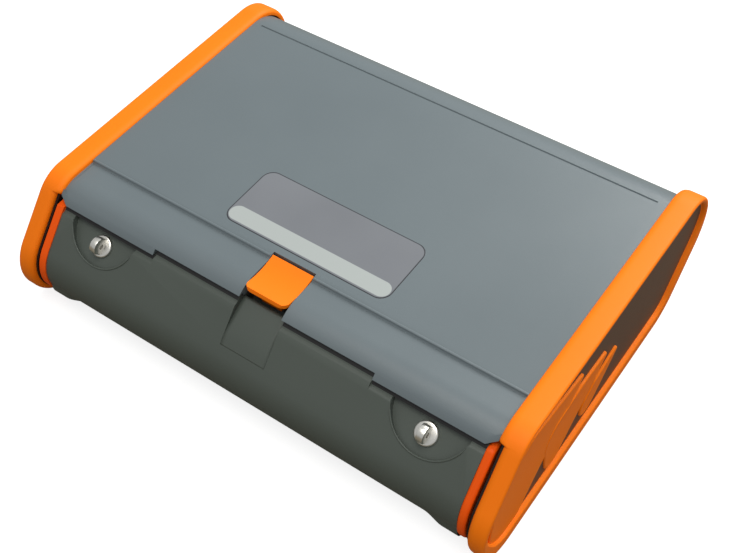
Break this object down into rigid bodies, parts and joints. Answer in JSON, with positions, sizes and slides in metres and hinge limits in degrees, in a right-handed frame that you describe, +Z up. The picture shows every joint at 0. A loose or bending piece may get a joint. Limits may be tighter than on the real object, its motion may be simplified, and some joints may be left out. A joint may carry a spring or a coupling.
{
  "type": "electrical installation tester",
  "caption": "Handheld electrical installation tester: grey case with hinged latched lid, orange side bumpers, display, keys, rotary selector and test sockets.",
  "frame": {"origin": "centre of the footprint on the surface that the tester stands on", "axes": "+X to the right along the width, +Y from the latch edge to the hinge edge, +Z up"},
  "size_m": [0.288, 0.223, 0.075],
  "materials": {
    "case_grey": "satin",
    "lid_grey": "satin",
    "orange_soft": "matte",
    "orange_hard": "satin",
    "cheek_dark": "matte",
    "foot_rubber": "matte",
    "steel": "satin",
    "brass": "satin",
    "washer": "satin",
    "cell": "satin",
    "board": "satin",
    "relay": "matte",
    "display": "satin",
    "window": "clear",
    "black": "satin",
    "panel": "matte",
    "key_grey": "matte",
    "dial": "satin",
    "port": "satin"
  },
  "bodies": {
    "case": {"base_tub": "case_grey", "left_end_bumper": "orange_soft", "right_end_bumper": "orange_soft", "feet": "foot_rubber", "strap_lugs": "steel", "lug_inserts": "brass", "hinge_pins": "steel", "hinge_washers": "washer", "latch_keeper": "steel", "battery_cells": "cell", "battery_contacts": "brass", "battery_cover": "case_grey", "battery_screws": "steel", "meter_board": "board", "board_spacers": "brass", "main_board": "board", "relay_block": "relay", "fuse_link": "relay", "keypad_mat": "foot_rubber", "display_module": "display", "selector_switch": "black", "panel_gasket": "foot_rubber", "front_panel": "panel", "panel_screws": "steel", "display_window": "window", "display_bezel": "black", "dial_ring": "dial", "socket_housings": "black", "socket_contacts": "brass", "probe_socket": "black", "usb_port": "port"},
    "lid": {"lid_shell": "lid_grey", "left_bumper": "orange_soft", "right_bumper": "orange_soft", "left_cheek": "cheek_dark", "right_cheek": "cheek_dark", "left_blades": "orange_soft", "right_blades": "orange_soft", "cheek_screws": "steel", "label_plate": "dial", "latch_pin": "steel", "latch_spring": "steel"},
    "latch": {"latch": "orange_hard"},
    "selector": {"selector_knob": "black"},
    "start_button": {"start_button": "orange_hard"},
    "key_f1": {"key_f1": "key_grey"},
    "key_f2": {"key_f2": "key_grey"},
    "key_f3": {"key_f3": "key_grey"},
    "key_f4": {"key_f4": "key_grey"},
    "key_escape": {"key_escape": "key_grey"},
    "key_up": {"key_up": "key_grey"},
    "key_light": {"key_light": "key_grey"},
    "key_left": {"key_left": "key_grey"},
    "key_enter": {"key_enter": "key_grey"},
    "key_right": {"key_right": "key_grey"},
    "key_help": {"key_help": "key_grey"},
    "key_down": {"key_down": "key_grey"},
    "key_power": {"key_power": "key_grey"}
  },
  "joints": [
    {"name": "lid_hinge", "type": "hinge", "parent": "case", "child": "lid", "pos_m": [0, 0.075, 0.043], "axis": [-1, 0, 0], "range_deg": [0, 115]},
    {"name": "latch_hinge", "type": "hinge", "parent": "lid", "child": "latch", "pos_m": [0, -0.0634, 0.06725], "axis": [-1, 0, 0], "range_deg": [0, 22], "stiffness_Nm_per_rad": 0.25, "springref_deg": -8.59},
    {"name": "selector_turn", "type": "hinge", "parent": "case", "child": "selector", "pos_m": [0.074, 0.024, 0.062], "axis": [0, 0, 1], "range_deg": [-150, 150]},
    {"name": "start_button_press", "type": "slide", "parent": "case", "child": "start_button", "axis": [0, 0, -1], "range_m": [0, 0.0012], "stiffness_N_per_m": 600, "springref_m": -0.0008},
    {"name": "key_f1_press", "type": "slide", "parent": "case", "child": "key_f1", "axis": [0, 0, -1], "range_m": [0, 0.0012], "stiffness_N_per_m": 600, "springref_m": -0.0008},
    {"name": "key_f2_press", "type": "slide", "parent": "case", "child": "key_f2", "axis": [0, 0, -1], "range_m": [0, 0.0012], "stiffness_N_per_m": 600, "springref_m": -0.0008},
    {"name": "key_f3_press", "type": "slide", "parent": "case", "child": "key_f3", "axis": [0, 0, -1], "range_m": [0, 0.0012], "stiffness_N_per_m": 600, "springref_m": -0.0008},
    {"name": "key_f4_press", "type": "slide", "parent": "case", "child": "key_f4", "axis": [0, 0, -1], "range_m": [0, 0.0012], "stiffness_N_per_m": 600, "springref_m": -0.0008},
    {"name": "key_escape_press", "type": "slide", "parent": "case", "child": "key_escape", "axis": [0, 0, -1], "range_m": [0, 0.0012], "stiffness_N_per_m": 600, "springref_m": -0.0008},
    {"name": "key_up_press", "type": "slide", "parent": "case", "child": "key_up", "axis": [0, 0, -1], "range_m": [0, 0.0012], "stiffness_N_per_m": 600, "springref_m": -0.0008},
    {"name": "key_light_press", "type": "slide", "parent": "case", "child": "key_light", "axis": [0, 0, -1], "range_m": [0, 0.0012], "stiffness_N_per_m": 600, "springref_m": -0.0008},
    {"name": "key_left_press", "type": "slide", "parent": "case", "child": "key_left", "axis": [0, 0, -1], "range_m": [0, 0.0012], "stiffness_N_per_m": 600, "springref_m": -0.0008},
    {"name": "key_enter_press", "type": "slide", "parent": "case", "child": "key_enter", "axis": [0, 0, -1], "range_m": [0, 0.0012], "stiffness_N_per_m": 600, "springref_m": -0.0008},
    {"name": "key_right_press", "type": "slide", "parent": "case", "child": "key_right", "axis": [0, 0, -1], "range_m": [0, 0.0012], "stiffness_N_per_m": 600, "springref_m": -0.0008},
    {"name": "key_help_press", "type": "slide", "parent": "case", "child": "key_help", "axis": [0, 0, -1], "range_m": [0, 0.0012], "stiffness_N_per_m": 600, "springref_m": -0.0008},
    {"name": "key_down_press", "type": "slide", "parent": "case", "child": "key_down", "axis": [0, 0, -1], "range_m": [0, 0.0012], "stiffness_N_per_m": 600, "springref_m": -0.0008},
    {"name": "key_power_press", "type": "slide", "parent": "case", "child": "key_power", "axis": [0, 0, -1], "range_m": [0, 0.0012], "stiffness_N_per_m": 600, "springref_m": -0.0008}
  ]
}
